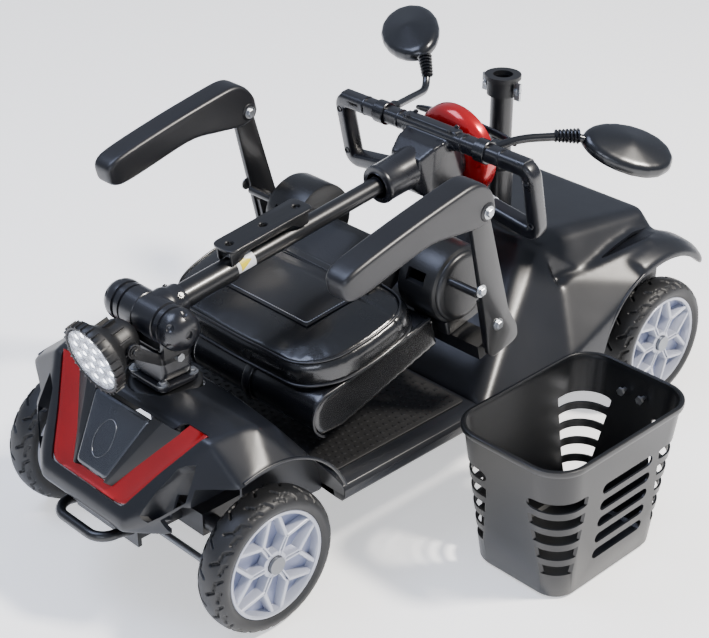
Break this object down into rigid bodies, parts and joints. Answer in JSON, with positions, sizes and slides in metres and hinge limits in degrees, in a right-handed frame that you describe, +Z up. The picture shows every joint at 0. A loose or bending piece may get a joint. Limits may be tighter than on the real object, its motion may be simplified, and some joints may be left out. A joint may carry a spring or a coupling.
{
  "type": "mobility scooter",
  "caption": "Transportable four-wheel mobility scooter, stowed: tiller folded back, seat lying on the deck with its backrest down, basket standing beside it.",
  "frame": {"origin": "middle of the whole object's footprint, on the ground", "axes": "-Y is the scooter's front, +X its rider's left, where the basket stands, +Z up"},
  "size_m": [0.7673, 1.0644, 0.5415],
  "materials": {
    "frame_steel": "satin black powder coat",
    "body_plastic": "satin black injection-moulded ABS",
    "mat_rubber": "matt ribbed rubber",
    "red_panel": "gloss metallic red",
    "badge_plastic": "silver-grey painted plastic",
    "tail_lens": "clear red moulding",
    "post_steel": "satin black",
    "bright_steel": "zinc-plated",
    "cast_alloy": "as-cast",
    "shaft_steel": "turned",
    "battery_case": "moulded",
    "tyre_rubber": "matt black tread rubber",
    "rim_paint": "silver paint",
    "lamp_plastic": "black moulding",
    "lamp_lens": "clear with white emitters",
    "grip_plastic": "satin black",
    "dial_plastic": "pale grey",
    "mirror_shell": "black gloss",
    "mirror_glass": "silvered",
    "seat_vinyl": "glossy black vinyl",
    "grained_plastic": "grained black",
    "basket_plastic": "grained black",
    "lever_yellow": "yellow"
  },
  "bodies": {
    "chassis": {"front_frame": "frame_steel", "rear_frame": "frame_steel", "post_sleeve": "frame_steel", "deck_pan": "body_plastic", "floor_mat": "mat_rubber", "front_shroud": "body_plastic", "nose_panel": "red_panel", "badge_panel": "badge_plastic", "column_cover": "body_plastic", "front_bumper": "frame_steel", "rear_shroud": "body_plastic", "rear_lamps": "tail_lens", "seat_post": "post_steel", "post_collar": "post_steel", "post_screws": "bright_steel", "transaxle": "cast_alloy", "battery_pack": "battery_case"},
    "steering": {"steering_column": "frame_steel", "column_nuts": "bright_steel", "headlamp_yoke": "frame_steel"},
    "steering_link": {"tie_rod": "frame_steel"},
    "left_knuckle": {"knuckle_left": "frame_steel"},
    "right_knuckle": {"knuckle_right": "frame_steel"},
    "front_left_wheel": {"front_left_tyre": "tyre_rubber", "front_left_rim": "rim_paint"},
    "front_right_wheel": {"front_right_tyre": "tyre_rubber", "front_right_rim": "rim_paint"},
    "rear_left_wheel": {"rear_left_tyre": "tyre_rubber", "rear_left_rim": "rim_paint", "half_shaft_left": "shaft_steel"},
    "rear_right_wheel": {"rear_right_tyre": "tyre_rubber", "rear_right_rim": "rim_paint", "half_shaft_right": "shaft_steel"},
    "headlamp": {"headlamp_body": "lamp_plastic", "headlamp_bezel": "lamp_plastic", "headlamp_lens": "lamp_lens"},
    "tiller": {"pivot_housing": "post_steel", "tiller_tube": "post_steel", "basket_bracket": "post_steel", "tiller_head": "grip_plastic", "handle_loops": "grip_plastic", "console_cover": "red_panel", "console_panel": "grip_plastic"},
    "dial": {"speed_dial": "dial_plastic"},
    "key": {"ignition_key": "bright_steel"},
    "throttle": {"throttle_lever": "grip_plastic"},
    "left_mirror": {"mirror_left": "mirror_shell", "mirror_glass_left": "mirror_glass"},
    "right_mirror": {"mirror_right": "mirror_shell", "mirror_glass_right": "mirror_glass"},
    "seat": {"seat_base": "frame_steel", "seat_cushion": "seat_vinyl", "seat_side_covers": "grained_plastic", "armrest_posts": "post_steel"},
    "backrest": {"backrest_pad": "seat_vinyl"},
    "left_armrest": {"armrest_pad_left": "grained_plastic"},
    "right_armrest": {"armrest_pad_right": "grained_plastic"},
    "freewheel": {"freewheel_lever": "lever_yellow"},
    "basket": {"basket": "basket_plastic", "basket_bolts": "bright_steel"}
  },
  "joints": [
    {"name": "steering_turn", "type": "hinge", "parent": "chassis", "child": "steering", "pos_m": [-0.08331, -0.36921, 0.2], "axis": [0, 0, 1], "range_deg": [-6, 6]},
    {"name": "link_slide", "type": "slide", "parent": "chassis", "child": "steering_link", "axis": [1, 0, 0], "range_m": [-0.005, 0.005]},
    {"name": "left_kingpin", "type": "hinge", "parent": "chassis", "child": "left_knuckle", "pos_m": [0.06669, -0.38221, 0.1], "axis": [0, 0, 1], "range_deg": [-9, 9]},
    {"name": "right_kingpin", "type": "hinge", "parent": "chassis", "child": "right_knuckle", "pos_m": [-0.23331, -0.38221, 0.1], "axis": [0, 0, 1], "range_deg": [-9, 9]},
    {"name": "front_left_spin", "type": "hinge", "parent": "left_knuckle", "child": "front_left_wheel", "pos_m": [0.12069, -0.38221, 0.1], "axis": [1, 0, 0], "continuous": true},
    {"name": "front_right_spin", "type": "hinge", "parent": "right_knuckle", "child": "front_right_wheel", "pos_m": [-0.28731, -0.38221, 0.1], "axis": [1, 0, 0], "continuous": true},
    {"name": "rear_left_spin", "type": "hinge", "parent": "chassis", "child": "rear_left_wheel", "pos_m": [0.12069, 0.41779, 0.1], "axis": [1, 0, 0], "continuous": true},
    {"name": "rear_right_spin", "type": "hinge", "parent": "chassis", "child": "rear_right_wheel", "pos_m": [-0.28731, 0.41779, 0.1], "axis": [1, 0, 0], "continuous": true},
    {"name": "headlamp_tilt", "type": "hinge", "parent": "steering", "child": "headlamp", "pos_m": [-0.08331, -0.44021, 0.355], "axis": [1, 0, 0], "range_deg": [-10, 10]},
    {"name": "tiller_fold", "type": "hinge", "parent": "steering", "child": "tiller", "pos_m": [-0.08331, -0.38521, 0.373], "axis": [1, 0, 0], "range_deg": [0, 65]},
    {"name": "speed_dial_turn", "type": "hinge", "parent": "tiller", "child": "dial", "pos_m": [-0.05731, 0.16011, 0.40369], "axis": [0, 0.9925, 0.1219], "range_deg": [-140, 140]},
    {"name": "key_turn", "type": "hinge", "parent": "tiller", "child": "key", "pos_m": [-0.10931, 0.16011, 0.40369], "axis": [0, 0.9925, 0.1219], "range_deg": [0, 90]},
    {"name": "throttle_rock", "type": "hinge", "parent": "tiller", "child": "throttle", "pos_m": [-0.08331, 0.20539, 0.46164], "axis": [0, 0.9925, 0.1219], "range_deg": [-12, 12], "stiffness_Nm_per_rad": 1},
    {"name": "left_mirror_tilt", "type": "hinge", "parent": "tiller", "child": "left_mirror", "pos_m": [0.01469, 0.12764, 0.47123], "axis": [1, 0, 0], "range_deg": [-15, 15]},
    {"name": "right_mirror_tilt", "type": "hinge", "parent": "tiller", "child": "right_mirror", "pos_m": [-0.18131, 0.12764, 0.47123], "axis": [1, 0, 0], "range_deg": [-15, 15]},
    {"name": "seat_lift", "type": "slide", "parent": "chassis", "child": "seat", "axis": [0, 0, 1], "range_m": [0, 0.02]},
    {"name": "backrest_fold", "type": "hinge", "parent": "seat", "child": "backrest", "pos_m": [-0.08331, -0.02099, 0.35255], "axis": [-1, 0, 0], "range_deg": [0, 65]},
    {"name": "left_armrest_flip", "type": "hinge", "parent": "seat", "child": "left_armrest", "pos_m": [0.14569, -0.03509, 0.48477], "axis": [-1, 0, 0], "range_deg": [0, 90]},
    {"name": "right_armrest_flip", "type": "hinge", "parent": "seat", "child": "right_armrest", "pos_m": [-0.31231, -0.03509, 0.48477], "axis": [-1, 0, 0], "range_deg": [0, 90]},
    {"name": "freewheel_flip", "type": "hinge", "parent": "chassis", "child": "freewheel", "pos_m": [-0.18331, 0.45379, 0.1], "axis": [1, 0, 0], "range_deg": [0, 35]},
    {"name": "basket_lift", "type": "slide", "parent": "chassis", "child": "basket", "axis": [0, 0, 1], "range_m": [0, 0.2]}
  ],
  "couplings": [
    {"joint": "link_slide", "follows": "steering_turn", "m_per_rad": 0.04},
    {"joint": "left_kingpin", "follows": "steering_turn", "ratio": 1.4815},
    {"joint": "right_kingpin", "follows": "steering_turn", "ratio": 1.4815},
    {"joint": "backrest_fold", "follows": "tiller_fold", "ratio": 1}
  ]
}
